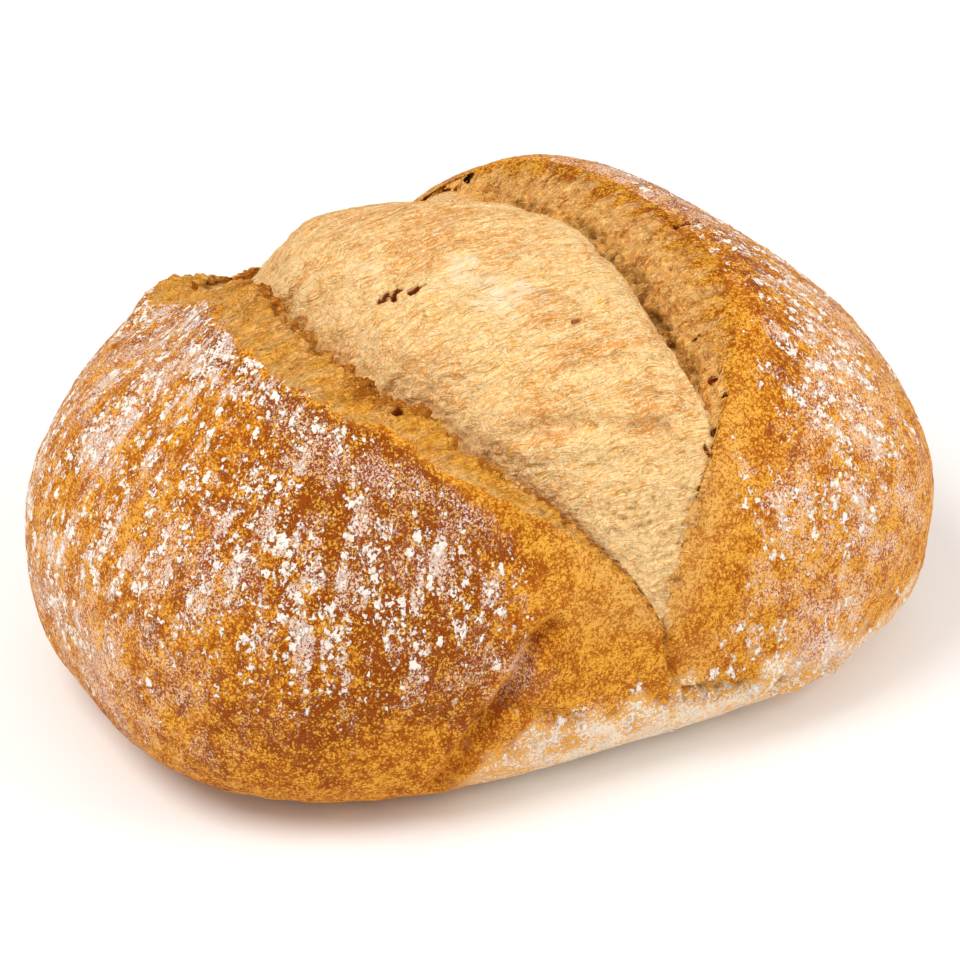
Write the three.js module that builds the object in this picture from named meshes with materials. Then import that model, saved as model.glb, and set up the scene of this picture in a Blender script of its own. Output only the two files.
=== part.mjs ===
// A free-standing rye loaf with a flat base, burst open along one long score that crosses
// its crown from front to back. The whole loaf is one closed solid.
//
// The skin is a loft of rings. Every point is cast out from the loaf's HEART, and two
// angles aim it: "lean" turns from straight forward (0) over the middle (90) to straight
// back (180), and "turn" goes round the front-to-back line, from up (0) to the right (90)
// and the left (-90) and to straight down (180 and -180). A ring holds one lean.
// The unbroken skin is a rounded slab; each ring then lifts or sinks from it.

import * as THREE from "three";

const { clamp, degToRad, lerp, smoothstep } = THREE.MathUtils;

// ---- Size of the unbroken loaf, in millimetres ----
const HALF_LENGTH = 120; // along X, middle to the end of a lobe
const HALF_WIDTH = 90.5; // along Y, middle to the front
const HEIGHT = 122.5;
const BELLY_HEIGHT = 41; // where the plan is largest
const FOOT_TUCK = 6; // how far under the floor the foot curve aims; it sets the base's width
const RIGHT_END_FULLER = 0.165; // share by which the right end is wider than the middle
const PLAN_SQUARENESS = 2.95; // exponents of the superellipses: 2 is a circle's arc
const CROWN_SQUARENESS = 1.95;
const FOOT_SQUARENESS = 3.6;
const HEART = new THREE.Vector3(4, 0, 43);
const FARTHEST_SKIN = 170;
const FLOOR_SNAP = 0.02;

// ---- The burst score: angles in degrees, heights in millimetres from the unbroken skin ----
const SCORE_FRONT = 1; // lean at the front tip
const SCORE_BACK = 172; // lean at the back tip
const LEFT_LIP_TURN = -42;
const RIGHT_RIDGE_TURN = 44;
const LEFT_CREVICE_DEPTH = 11;
const RIGHT_CREVICE_DEPTH = 16.5;
const LIP_RISE = 6.5;
const RIDGE_RISE = 2.5;
const CRUMB_RISE = 1;
const LEFT_SIDE_BACK_SHARE = 0.3; // what is left of lip and crevice at the back of the left side
const LIP_BACK_SPREAD = 14; // how much farther left the lip lies at the back

// ---- Mesh ----
const RINGS = 60;
const POINTS_ROUND = 90;

// ---- Swellings and hollows of the dough: lean, turn, their reaches in degrees, rise in mm ----
const SWELLINGS = [
  { lean: 112, turn: -66, leanReach: 24, turnReach: 20, rise: 0.7 },
  { lean: 116, turn: -8, leanReach: 22, turnReach: 20, rise: -1.5 },
  { lean: 146, turn: 14, leanReach: 22, turnReach: 22, rise: -7.1 },
  { lean: 96, turn: 56, leanReach: 22, turnReach: 18, rise: -0.9 },
  { lean: 62, turn: 118, leanReach: 24, turnReach: 14, rise: 10.7 },
  { lean: 150, turn: 60, leanReach: 20, turnReach: 30, rise: 10.2 },
  { lean: 124, turn: -41, leanReach: 16, turnReach: 13, rise: -11.5 },
  { lean: 46, turn: 112, leanReach: 12, turnReach: 12, rise: -5 },
  { lean: 111, turn: -54, leanReach: 12, turnReach: 9, rise: -4.2 },
  { lean: 126, turn: -50, leanReach: 10, turnReach: 9, rise: 9.5 },
  { lean: 130, turn: -22, leanReach: 14, turnReach: 10, rise: 1.7 },
  { lean: 72, turn: 64, leanReach: 16, turnReach: 14, rise: 1.6 },
  { lean: 108, turn: 46, leanReach: 14, turnReach: 12, rise: -1.4 },
];
const SWELLING_FADE_HEIGHT = 14; // they fade out towards the flat base

// ---- Folds pressed into the crust and the crumb: a path of [lean, turn] corners ----
const FOLDS = [
  { path: [[23, -70], [27, -92], [35, -107], [41, -116]], halfWidth: 6, depth: 3.5 },
  { path: [[28, -93], [24, -105], [19, -122]], halfWidth: 5, depth: 2 },
  { path: [[11, 160], [19, 137], [30, 127], [38, 119]], halfWidth: 5, depth: 3.5 },
  { path: [[5, 172], [11, 164], [19, 170]], halfWidth: 5, depth: 2 },
  { path: [[45, -24], [42, -12], [38, 2], [36, 14]], halfWidth: 6, depth: 1.6 },
];

// ---- Relief of the torn surfaces, in millimetres ----
const RELIEF_SEED = 41;
const STRAND_WIDTH = 9; // strands of crumb pulled across the opening
const STRAND_LENGTH = 45;
const STRAND_RELIEF = 1.5;
const TORN_LUMP_SIZE = 9;
const TORN_LUMP_RELIEF = 2.6;
const CRUST_LUMP_SIZE = 26;
const CRUST_LUMP_RELIEF = 0.9;
const LIP_WANDER = 1.5; // degrees
const LIP_WANDER_LENGTH = 9; // degrees of lean

// A fixed pseudo-random number from -1 to 1 for each corner of a whole-number lattice.
function latticeValue(i, j, k) {
  let mixed = Math.imul(i, 374761393) ^ Math.imul(j, 668265263) ^ Math.imul(k, 974634777);
  mixed = Math.imul(mixed ^ RELIEF_SEED ^ (mixed >>> 13), 1274126177);
  mixed ^= mixed >>> 16;
  return (mixed >>> 0) / 0x7fffffff - 1;
}

// Smooth lumps one unit across, from about -1 to 1.
function lumps(x, y, z) {
  const [i, j, k] = [x, y, z].map(Math.floor);
  const [u, v, w] = [x - i, y - j, z - k].map((f) => smoothstep(f, 0, 1));
  let sum = 0;
  for (let corner = 0; corner < 8; corner += 1) {
    const di = corner & 1;
    const dj = (corner >> 1) & 1;
    const dk = corner >> 2;
    const share = (di ? u : 1 - u) * (dj ? v : 1 - v) * (dk ? w : 1 - w);
    sum += share * latticeValue(i + di, j + dj, k + dk);
  }
  return sum;
}

// The share of the full plan that the unbroken loaf fills at a height.
function planShare(z) {
  const rising = z >= BELLY_HEIGHT;
  const reach = rising ? HEIGHT - BELLY_HEIGHT : BELLY_HEIGHT + FOOT_TUCK;
  const power = rising ? CROWN_SQUARENESS : FOOT_SQUARENESS;
  const away = Math.min(Math.abs(z - BELLY_HEIGHT) / reach, 1);
  return (1 - away ** power) ** (1 / power);
}

function isInsideSkin({ x, y, z }) {
  if (z < 0 || z > HEIGHT) return false;
  const halfWidthHere = HALF_WIDTH * (1 + (RIGHT_END_FULLER * x) / HALF_LENGTH);
  const along = Math.abs(x / HALF_LENGTH) ** PLAN_SQUARENESS;
  const across = Math.abs(y / halfWidthHere) ** PLAN_SQUARENESS;
  return (along + across) ** (1 / PLAN_SQUARENESS) <= planShare(z);
}

// Halves the gap between inside and outside until the unbroken skin is found.
function skinDistance(direction) {
  const probe = new THREE.Vector3();
  let inside = 0;
  let outside = FARTHEST_SKIN;
  for (let halving = 0; halving < 24; halving += 1) {
    const middle = (inside + outside) / 2;
    probe.copy(HEART).addScaledVector(direction, middle);
    if (isInsideSkin(probe)) inside = middle;
    else outside = middle;
  }
  return inside;
}

function aim(lean, turn) {
  const l = degToRad(lean);
  const t = degToRad(turn);
  return new THREE.Vector3(
    Math.sin(l) * Math.sin(t),
    -Math.cos(l),
    Math.sin(l) * Math.cos(t),
  );
}

// How wide the score gapes at a lean: 0 at its tips, 1 across the crown.
function gape(lean) {
  const along = clamp((lean - SCORE_FRONT) / (SCORE_BACK - SCORE_FRONT), 0, 1);
  return Math.sin(Math.PI * along) ** 0.8;
}

// The turns at which one ring meets the left lip, the right crevice and the right ridge.
function scoreEdges(lean) {
  const open = gape(lean);
  const wander = LIP_WANDER * lumps(lean / LIP_WANDER_LENGTH, 0.5, 0.5) * open;
  const spread = LIP_BACK_SPREAD * smoothstep(lean, 104, 126) * open;
  const lip = LEFT_LIP_TURN * open ** 0.56 - spread + wander;
  const ridge = RIGHT_RIDGE_TURN * open;
  const crevice = ridge * (1 - 0.42 * smoothstep(open, 0.6, 1));
  return { open, lip, crevice, ridge };
}

// One ring as a curve of (turn, rise from the unbroken skin), bottom to bottom.
function ringProfile(lean) {
  const { open, lip, crevice, ridge } = scoreEdges(lean);
  const begins = smoothstep(open, 0.02, 0.3);
  const wide = smoothstep(open, 0.6, 1);
  const atBack = smoothstep(lean, 80, 118);
  const leftShare = lerp(1, LEFT_SIDE_BACK_SHARE, atBack);
  const slump = smoothstep(lean, 78, 112); // the crumb falls off more gently towards the back
  const leftDepth = LEFT_CREVICE_DEPTH * leftShare * lerp(begins, smoothstep(open, 0.2, 0.85), 0.82);
  const rightDepth = RIGHT_CREVICE_DEPTH * lerp(begins, smoothstep(open, 0.6, 0.95), 0.91);
  const lipRise = LIP_RISE * leftShare * lerp(begins, smoothstep(open, 0.5, 1), 0.85);
  const ridgeRise = RIDGE_RISE * wide;
  const crumb = CRUMB_RISE * wide - 2.5 * (1 - open) * begins;
  const across = (share) => lerp(lip, crevice, share);
  const falling = (atFront, atRear) => lerp(crumb, -rightDepth, lerp(atFront, atRear, slump));
  const wall = (share) => lerp(crevice, ridge, share);
  const flank = (share) => lerp(-90, lip, share);
  const farFlank = (share) => lerp(ridge, 90, share);
  return new THREE.SplineCurve(
    [
      // base and left side, up to the lip
      [-180, 0], [-150, 0], [-126, 0], [-111, 0], [-100, 0], [-90, 0],
      [flank(0.11), 0], [flank(0.22), 0], [flank(0.35), 0],
      [flank(0.62), 0.35 * lipRise], [flank(0.82), 0.9 * lipRise],
      [lip - 5.5 * open, 1.05 * lipRise], [lip - 0.5 * open, 0.72 * lipRise],
      // over the torn lip and down its undercut
      [lip + 1.2 * open, 0.1 * lipRise - open], [lip + 0.2 * open, -0.45 * leftDepth],
      [lip - 1.2 * open, -0.9 * leftDepth], [across(0.02), -1.05 * leftDepth],
      // the risen crumb, left to right
      [across(0.09), -0.72 * leftDepth], [across(0.2), lerp(crumb, -leftDepth, 0.38)],
      [across(0.36), lerp(crumb, -leftDepth, 0.13)], [across(0.54), crumb],
      [across(0.7), falling(0.04, 0.18)], [across(0.85), falling(0.13, 0.46)],
      [across(0.95), falling(0.46, 0.8)],
      // the right crevice and its wall
      [crevice, -rightDepth], [wall(0.12) + 0.6 * open, -0.92 * rightDepth],
      [wall(0.4), lerp(-rightDepth, ridgeRise, 0.45)], [wall(0.75), lerp(-rightDepth, ridgeRise, 0.86)],
      // over the right ridge, down the right side and under
      [ridge, ridgeRise], [farFlank(0.13), 0.75 * ridgeRise], [farFlank(0.32), 0.25 * ridgeRise],
      [farFlank(0.5), 0], [farFlank(0.67), 0], [farFlank(0.84), 0],
      [90, 0], [100, 0], [111, 0], [126, 0], [150, 0], [180, 0],
    ].map(([turn, rise]) => new THREE.Vector2(turn, rise)),
  );
}

function swellingRise(lean, turn) {
  return SWELLINGS.reduce((sum, swelling) => {
    const aroundTurn = THREE.MathUtils.euclideanModulo(turn - swelling.turn + 180, 360) - 180;
    const away = ((lean - swelling.lean) / swelling.leanReach) ** 2;
    return sum + swelling.rise * Math.exp(-away - (aroundTurn / swelling.turnReach) ** 2);
  }, 0);
}

// Each fold's path as points in space on the unbroken skin.
const foldLines = FOLDS.map(({ path, halfWidth, depth }) => {
  const corners = path.map(([lean, turn]) => {
    const direction = aim(lean, turn);
    return HEART.clone().addScaledVector(direction, skinDistance(direction));
  });
  return { points: new THREE.CatmullRomCurve3(corners).getSpacedPoints(24), halfWidth, depth };
});

function foldDrop(point) {
  return foldLines.reduce((deepest, { points, halfWidth, depth }) => {
    const away = Math.min(...points.map((p) => p.distanceTo(point)));
    return Math.max(deepest, depth * Math.exp(-((away / halfWidth) ** 2)));
  }, 0);
}

// Fine relief at a point: strands on the crumb, lumps on the torn wall, soft lumps on crust.
function relief(point, lean, turn) {
  const { open, lip, crevice, ridge } = scoreEdges(lean);
  const onCrumb = smoothstep(turn, lip + 2, lip + 8) * (1 - smoothstep(turn, crevice - 6, crevice));
  const onTorn = smoothstep(turn, crevice - 2, crevice + 3) * (1 - smoothstep(turn, ridge - 4, ridge + 3));
  const onLip = Math.exp(-(((turn - lip + 3) / 3) ** 2));
  const strands = lumps(point.x / STRAND_LENGTH, point.y / STRAND_WIDTH, point.z / STRAND_WIDTH);
  const tornLumps = lumps(...point.clone().divideScalar(TORN_LUMP_SIZE));
  const crustLumps = lumps(...point.clone().divideScalar(CRUST_LUMP_SIZE));
  return (
    STRAND_RELIEF * strands * onCrumb * open +
    TORN_LUMP_RELIEF * tornLumps * Math.max(onTorn, 0.7 * onLip) * open +
    CRUST_LUMP_RELIEF * crustLumps * (1 - onCrumb)
  );
}

function skinPoint(lean, turn, rise) {
  const direction = aim(lean, turn);
  const distance = skinDistance(direction);
  const plain = HEART.clone().addScaledVector(direction, distance);
  const clearOfBase = smoothstep(plain.z, 0, SWELLING_FADE_HEIGHT);
  const extra = swellingRise(lean, turn) + relief(plain, lean, turn) - foldDrop(plain);
  const point = plain.addScaledVector(direction, rise + extra * clearOfBase);
  if (point.z < FLOOR_SNAP) point.z = 0;
  return point;
}

function loafGeometry() {
  const points = [skinPoint(0, 0, 0)];
  for (let ring = 1; ring < RINGS; ring += 1) {
    const lean = (180 * ring) / RINGS;
    const profile = ringProfile(lean);
    for (let step = 0; step < POINTS_ROUND; step += 1) {
      const { x: turn, y: rise } = profile.getPoint(step / POINTS_ROUND);
      points.push(skinPoint(lean, turn, rise));
    }
  }
  points.push(skinPoint(180, 0, 0));

  const faces = [];
  const at = (ring, step) => 1 + (ring - 1) * POINTS_ROUND + (step % POINTS_ROUND);
  for (let step = 0; step < POINTS_ROUND; step += 1) {
    faces.push(0, at(1, step + 1), at(1, step));
    faces.push(points.length - 1, at(RINGS - 1, step), at(RINGS - 1, step + 1));
    for (let ring = 1; ring < RINGS - 1; ring += 1) {
      faces.push(at(ring, step), at(ring + 1, step + 1), at(ring + 1, step));
      faces.push(at(ring, step), at(ring, step + 1), at(ring + 1, step + 1));
    }
  }

  const geometry = new THREE.BufferGeometry().setFromPoints(points).setIndex(faces);
  geometry.computeBoundingBox();
  const { min, max } = geometry.boundingBox;
  geometry.translate(-(min.x + max.x) / 2, -(min.y + max.y) / 2, 0);
  geometry.computeVertexNormals();
  return geometry;
}

const crust = new THREE.MeshStandardMaterial({ color: 0xc98a3f, roughness: 0.7, metalness: 0 });
const loaf = new THREE.Mesh(loafGeometry(), crust);
loaf.name = "loaf";

const part = new THREE.Group();
part.add(loaf);

export default part;
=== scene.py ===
import math

import bpy
import numpy as np
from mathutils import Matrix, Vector


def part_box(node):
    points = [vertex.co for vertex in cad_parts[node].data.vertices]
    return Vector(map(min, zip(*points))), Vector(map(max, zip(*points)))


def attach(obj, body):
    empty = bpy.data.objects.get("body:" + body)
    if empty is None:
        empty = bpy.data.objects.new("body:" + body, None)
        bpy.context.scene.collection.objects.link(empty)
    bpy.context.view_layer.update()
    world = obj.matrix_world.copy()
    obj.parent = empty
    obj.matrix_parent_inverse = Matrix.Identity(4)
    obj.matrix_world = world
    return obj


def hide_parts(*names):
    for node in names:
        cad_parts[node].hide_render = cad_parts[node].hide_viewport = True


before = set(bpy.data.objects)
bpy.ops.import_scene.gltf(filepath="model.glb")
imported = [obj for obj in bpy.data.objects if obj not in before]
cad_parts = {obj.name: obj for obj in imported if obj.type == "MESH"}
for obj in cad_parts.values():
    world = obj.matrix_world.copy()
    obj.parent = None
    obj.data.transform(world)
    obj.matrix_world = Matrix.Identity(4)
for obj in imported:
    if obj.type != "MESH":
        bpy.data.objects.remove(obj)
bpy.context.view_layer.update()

# A free-standing rye loaf, burst along one score from front to back. Its skin is cast out
# from the loaf's heart in rings. "Lean" turns from straight forward (0) to straight back
# (180); "turn" goes round the front-to-back line, from up (0) to the right (90), the left
# (-90) and down (180 and -180). Lengths are in millimetres until a piece is made.

MM = 0.001

# ---------------------------------------------------------------- sizes from the frame
LOW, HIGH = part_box("loaf")
LENGTH, WIDTH, HEIGHT = [(HIGH[axis] - LOW[axis]) / MM for axis in range(3)]
HALF_LENGTH = 0.4998 * LENGTH
HALF_WIDTH = 0.4662 * WIDTH
CROWN = 0.9915 * HEIGHT
BELLY = 0.332 * HEIGHT
FOOT_TUCK = 6.0
RIGHT_END_FULLER = 0.165
PLAN_SQUARENESS = 2.95
CROWN_SQUARENESS = 1.95
FOOT_SQUARENESS = 3.6
HEART = np.array([4.0, 0.0, 43.0])
FARTHEST_SKIN = 170.0
HALVINGS = 22
ROUGH_RADIUS = 85.0

# ---------------------------------------------------------------- the burst score
SCORE_FRONT, SCORE_BACK = 1.0, 172.0
LEFT_LIP_TURN, RIGHT_RIDGE_TURN = -42.0, 44.0
LEFT_CREVICE_DEPTH, RIGHT_CREVICE_DEPTH = 11.0, 16.5
LIP_RISE, RIDGE_RISE, CRUMB_RISE = 6.5, 2.5, 1.0
LEFT_SIDE_BACK_SHARE = 0.3
LIP_BACK_SPREAD = 14.0
LIP_WANDER, LIP_WANDER_LENGTH = 1.5, 9.0
# tips of the torn lip: lean, half width, reach in turn
LIP_TIPS = ((58.5, 4.0, 2.6), (33.0, 2.0, 2.4), (71.0, 2.2, 1.2), (98.0, 2.5, 2.0))
# how the crumb falls to the right crevice: share of the way, share of the depth in front, and behind
RIGHT_SHOULDER = ((0.7, 0.04, 0.18), (0.85, 0.13, 0.46), (0.95, 0.46, 0.80))

# swellings of the dough: lean, turn, reach in lean, reach in turn, rise
SWELLINGS = (
    (112, -66, 24, 20, 0.7), (116, -8, 22, 20, -1.5), (146, 14, 22, 22, -7.1),
    (96, 56, 22, 18, -0.9), (62, 118, 24, 14, 10.7), (150, 60, 20, 30, 10.2),
    (124, -41, 16, 13, -11.5), (46, 112, 12, 12, -5.0), (111, -54, 12, 9, -4.2),
    (126, -50, 10, 9, 9.5), (130, -22, 14, 10, 1.7), (72, 64, 16, 14, 1.6), (108, 46, 14, 12, -1.4),
)
# folds pressed into the skin: corners as (lean, turn), half width, depth, bank
FOLDS = (
    (((22, -66), (24, -74), (27, -92), (32, -101), (41, -116)), 2.6, 3.4, 1.2),
    (((28, -93), (24, -105), (19, -122)), 2.2, 2.0, 0.5),
    (((10.5, 157), (12, 148), (14.6, 141), (19.8, 131), (26.8, 124.4), (32.6, 118.3)), 1.3, 3.2, 1.6),
    (((1, 0), (4, 166), (8, 166), (10.5, 157)), 1.2, 1.6, 0.6),
    (((46, -24), (42, -12), (38, 2), (36, 14)), 2.4, 1.8, 0.9),
)
CREASES, DEEPEST_CREASE = slice(2, 4), 3.2

# knots of a ring's curve where one surface gives way to the next
FOOT_LEFT, LIP_SKIN, LIP_EDGE, LEFT_CREVICE = 3, 11, 13, 16
RIGHT_CREVICE, WALL_SHOWS, RIDGE_SKIN, FOOT_RIGHT, LAST_KNOT = 24, 25.4, 27.2, 36, 39

RELIEF_SEED = 41


# ---------------------------------------------------------------- small maths
def smooth(x, low, high):
    t = np.clip((x - low) / (high - low), 0, 1)
    return t * t * (3 - 2 * t)


def mix(a, b, share):
    return a + (b - a) * share


def bell(distance, reach):
    return np.exp(-(distance / reach) ** 2)


def spots(table, lean, turn):
    """The sum of soft spots on the skin; turns are compared the short way round."""
    total = 0
    for centre_lean, centre_turn, lean_reach, turn_reach, strength in table:
        away = (turn - centre_turn + 180) % 360 - 180
        total = total + strength * bell(lean - centre_lean, lean_reach) * bell(away, turn_reach)
    return total


def corners(points, size, ease):
    """Each corner of the lattice cells that hold the points: its place, the way from it, its weight."""
    scaled = points / np.asarray(size, float)
    cell = np.floor(scaled).astype(np.int64)
    inside = scaled - cell
    share = ease(inside)
    for corner in range(8):
        step = np.array([corner & 1, corner >> 1 & 1, corner >> 2])
        yield np.moveaxis(cell + step, -1, 0), inside - step, np.where(step, share, 1 - share).prod(-1)


def lattice_value(i, j, k):
    """A fixed pseudo-random number from -1 to 1 for each corner of the lattice."""
    i, j, k = (n.astype(np.uint32) for n in (i, j, k))
    mixed = i * np.uint32(374761393) ^ j * np.uint32(668265263) ^ k * np.uint32(974634777)
    mixed = (mixed ^ np.uint32(RELIEF_SEED) ^ (mixed >> np.uint32(13))) * np.uint32(1274126177)
    mixed = mixed ^ (mixed >> np.uint32(16))
    return mixed / 0x7FFFFFFF - 1


def lumps(points, size):
    """Smooth lumps, size across (one number, or one for each axis), from about -1 to 1."""
    eased = corners(points, size, lambda inside: smooth(inside, 0, 1))
    return sum(weight * lattice_value(*place) for place, _, weight in eased)


SLOPES = np.array([(x, y, z) for x in (-1, 0, 1) for y in (-1, 0, 1) for z in (-1, 0, 1)
                   if abs(x) + abs(y) + abs(z) == 2] + [(1, 1, 0), (-1, 1, 0), (0, -1, 1), (0, -1, -1)], float)


def grain(points, size, seed=0):
    """Finer-looking noise than lumps, made of slopes, from about -1 to 1."""
    total = 0
    for (i, j, k), away, weight in corners(points, size, lambda t: t ** 3 * (t * (t * 6 - 15) + 10)):
        key = (i * 73856093 ^ j * 19349663 ^ k * 83492791 ^ (seed + 7) * 2654435761) & 0xFFFFFFFF
        key = (key ^ key >> 15) * 2246822519 & 0xFFFFFFFF
        total = total + weight * (away * SLOPES[(key ^ key >> 13) & 15]).sum(-1)
    return 1.4 * total


def grains(points, size, layers, seed=0):
    """Several layers of grain, each half the size and half as strong as the last."""
    total = 0
    for layer in range(layers):
        total = total + grain(points, np.asarray(size, float) / 2 ** layer, seed + layer) / 2 ** layer
    return total


# ---------------------------------------------------------------- the loaf's skin
def plan_share(z):
    """The share of the full plan that the unbroken loaf fills at a height."""
    rising = z >= BELLY
    reach = np.where(rising, CROWN - BELLY, BELLY + FOOT_TUCK)
    power = np.where(rising, CROWN_SQUARENESS, FOOT_SQUARENESS)
    away = np.clip(np.abs(z - BELLY) / reach, 0, 1)
    return (1 - away ** power) ** (1 / power)


def skin_distance(aim):
    """How far from the heart the unbroken skin lies, by halving the gap between in and out."""
    inside, outside = np.zeros(aim.shape[:-1]), np.full(aim.shape[:-1], FARTHEST_SKIN)
    for _ in range(HALVINGS):
        middle = (inside + outside) / 2
        x, y, z = np.moveaxis(HEART + aim * middle[..., None], -1, 0)
        half_width = HALF_WIDTH * (1 + RIGHT_END_FULLER * x / HALF_LENGTH)
        across = np.abs(x / HALF_LENGTH) ** PLAN_SQUARENESS + np.abs(y / half_width) ** PLAN_SQUARENESS
        held = (z >= 0) & (z <= CROWN) & (across ** (1 / PLAN_SQUARENESS) <= plan_share(z))
        inside, outside = np.where(held, middle, inside), np.where(held, outside, middle)
    return inside


def aim_at(lean, turn):
    lean, turn = np.radians(lean), np.radians(turn)
    return np.stack([np.sin(lean) * np.sin(turn), -np.cos(lean) + 0 * turn, np.sin(lean) * np.cos(turn)], -1)


def gape(lean):
    """How wide the score opens at a lean: 0 at its tips, 1 over the crown."""
    along = np.clip((lean - SCORE_FRONT) / (SCORE_BACK - SCORE_FRONT), 0, 1)
    return np.maximum(np.sin(math.pi * along), 0) ** 0.8


def lip_turn(lean):
    """The left lip wanders, and its torn edge is ragged with a few crisp tips."""
    ring = np.stack([lean / LIP_WANDER_LENGTH, 0 * lean + 0.5, 0 * lean + 0.5], -1)
    line = np.stack([lean, 0 * lean + 0.3, 0 * lean + 0.7], -1)
    wander = LIP_WANDER * lumps(ring, 1)
    ragged = 0.9 * grain(line, 3.1, 1) + 0.45 * grain(line, 1.1, 2)
    tips = 1.2 * smooth(grain(line, 2.3, 3), 0.35, 0.75)
    tips = tips + sum(reach * bell(lean - place, width) for place, width, reach in LIP_TIPS)
    base = LEFT_LIP_TURN * gape(lean) ** 0.56 - LIP_BACK_SPREAD * smooth(lean, 104, 126) * gape(lean)
    return base + (wander + (ragged + tips) * smooth(gape(lean), 0.1, 0.5)) * gape(lean)


def ring_knots(lean):
    """The knots (turn, rise) of each ring's curve, from straight down round to straight down."""
    opening = gape(lean)
    lip, ridge = lip_turn(lean), RIGHT_RIDGE_TURN * opening
    crevice = ridge * (1 - 0.42 * smooth(opening, 0.6, 1))
    begins, wide = smooth(opening, 0.02, 0.3), smooth(opening, 0.6, 1)
    slump = smooth(lean, 78, 112)
    left_share = mix(1, LEFT_SIDE_BACK_SHARE, smooth(lean, 80, 118))
    left_depth = LEFT_CREVICE_DEPTH * left_share * mix(begins, smooth(opening, 0.2, 0.85), 0.82)
    first_drop = begins * mix(0.3, 1, smooth(lean, 40, 80))
    right_depth = RIGHT_CREVICE_DEPTH * mix(first_drop, smooth(opening, 0.6, 0.95), 0.91)
    lip_rise = LIP_RISE * left_share * mix(begins, smooth(opening, 0.5, 1), 0.85)
    ridge_rise = RIDGE_RISE * wide
    crumb = CRUMB_RISE * wide - 2.5 * (1 - opening) * begins

    def between(start, end, *shares_and_rises):
        return [(mix(start, end, share), rise) for share, rise in shares_and_rises]

    knots = [(turn, 0) for turn in (-180, -150, -126, -111, -100, -90)]
    knots += between(-90, lip, (0.11, 0), (0.22, 0), (0.35, 0), (0.62, 0.35 * lip_rise), (0.82, 0.9 * lip_rise))
    knots += [(lip - 5.5 * opening, 1.05 * lip_rise), (lip - 0.5 * opening, 0.72 * lip_rise)]
    knots += [(lip + 1.2 * opening, 0.1 * lip_rise - opening), (lip + 0.2 * opening, -0.45 * left_depth)]
    knots += [(lip - 1.2 * opening, -0.9 * left_depth)]
    knots += between(lip, crevice, (0.02, -1.05 * left_depth), (0.09, -0.72 * left_depth))
    knots += between(lip, crevice, *((share, mix(crumb, -left_depth, fall))
                                     for share, fall in ((0.2, 0.38), (0.36, 0.13), (0.54, 0))))
    knots += between(lip, crevice, *((share, mix(crumb, -right_depth, mix(front_fall, back_fall, slump)))
                                     for share, front_fall, back_fall in RIGHT_SHOULDER))
    knots += [(crevice, -right_depth), (mix(crevice, ridge, 0.12) + 0.6 * opening, -0.92 * right_depth)]
    knots += between(crevice, ridge, *((share, mix(-right_depth, ridge_rise, climb))
                                       for share, climb in ((0.4, 0.45), (0.75, 0.86))))
    knots += between(ridge, 90, (0, ridge_rise), (0.13, 0.75 * ridge_rise), (0.32, 0.25 * ridge_rise),
                     (0.5, 0), (0.67, 0), (0.84, 0))
    knots += [(turn, 0) for turn in (90, 100, 111, 126, 150, 180)]
    return [np.stack([knot[side] + 0 * lean for knot in knots], -1) for side in (0, 1)]


def along_ring(values, knot):
    """A smooth curve through each ring's values, read at fractional knots."""
    last = values.shape[-1] - 1
    first = np.clip(np.floor(knot).astype(int), 0, last - 1)
    part = knot - first
    before, start, end, after = (
        np.take_along_axis(values, np.clip(first + step, 0, last), -1) for step in (-1, 0, 1, 2)
    )
    leave, arrive = (end - before) / 2, (after - start) / 2
    return ((2 * start - 2 * end + leave + arrive) * part ** 3
            + (3 * end - 3 * start - 2 * leave - arrive) * part ** 2 + leave * part + start)


def unbroken(lean, turn):
    """Points on the skin as it was before it swelled and burst."""
    aim = aim_at(lean, turn)
    return HEART + aim * skin_distance(aim)[..., None]


def spot_at(lean, turn=0):
    return unbroken(np.array([lean]), np.array([turn]))[0]


def rounded_path(corners, steps=40):
    """A fold's corners as evenly stepped points in space on the unbroken skin."""
    points = unbroken(*np.array(corners, float).T)
    knot = np.linspace(0, len(corners) - 1, steps)[None]
    return np.stack([along_ring(points[None, :, axis], knot)[0] for axis in range(3)], -1)


FOLD_PATHS = [(rounded_path(corners), *shape) for corners, *shape in FOLDS]


def distance_to_path(points, path):
    flat = points.reshape(-1, 3)
    nearest = np.full(len(flat), 1e9)
    for start, end in zip(path[:-1], path[1:]):
        line = end - start
        share = np.clip(((flat - start) @ line) / (line @ line), 0, 1)
        nearest = np.minimum(nearest, np.linalg.norm(flat - start - share[:, None] * line, axis=1))
    return nearest.reshape(points.shape[:-1])


def crease_share(points):
    """How close each point is to the bottom of a deep fold by the base, where painted shade darkens the crease.
    """
    return sum(depth / DEEPEST_CREASE * bell(distance_to_path(points, path), 0.75 * half_width)
               for path, half_width, depth, _ in FOLD_PATHS[CREASES])


def fold_lift(points):
    """The grooves that the folds press in, and the banks beside them."""
    lift = 0
    for path, half_width, depth, bank in FOLD_PATHS:
        away = distance_to_path(points, path)
        lift = lift - depth * bell(away, half_width) + bank * bell(away - 2.1 * half_width, half_width)
    return lift


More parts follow.
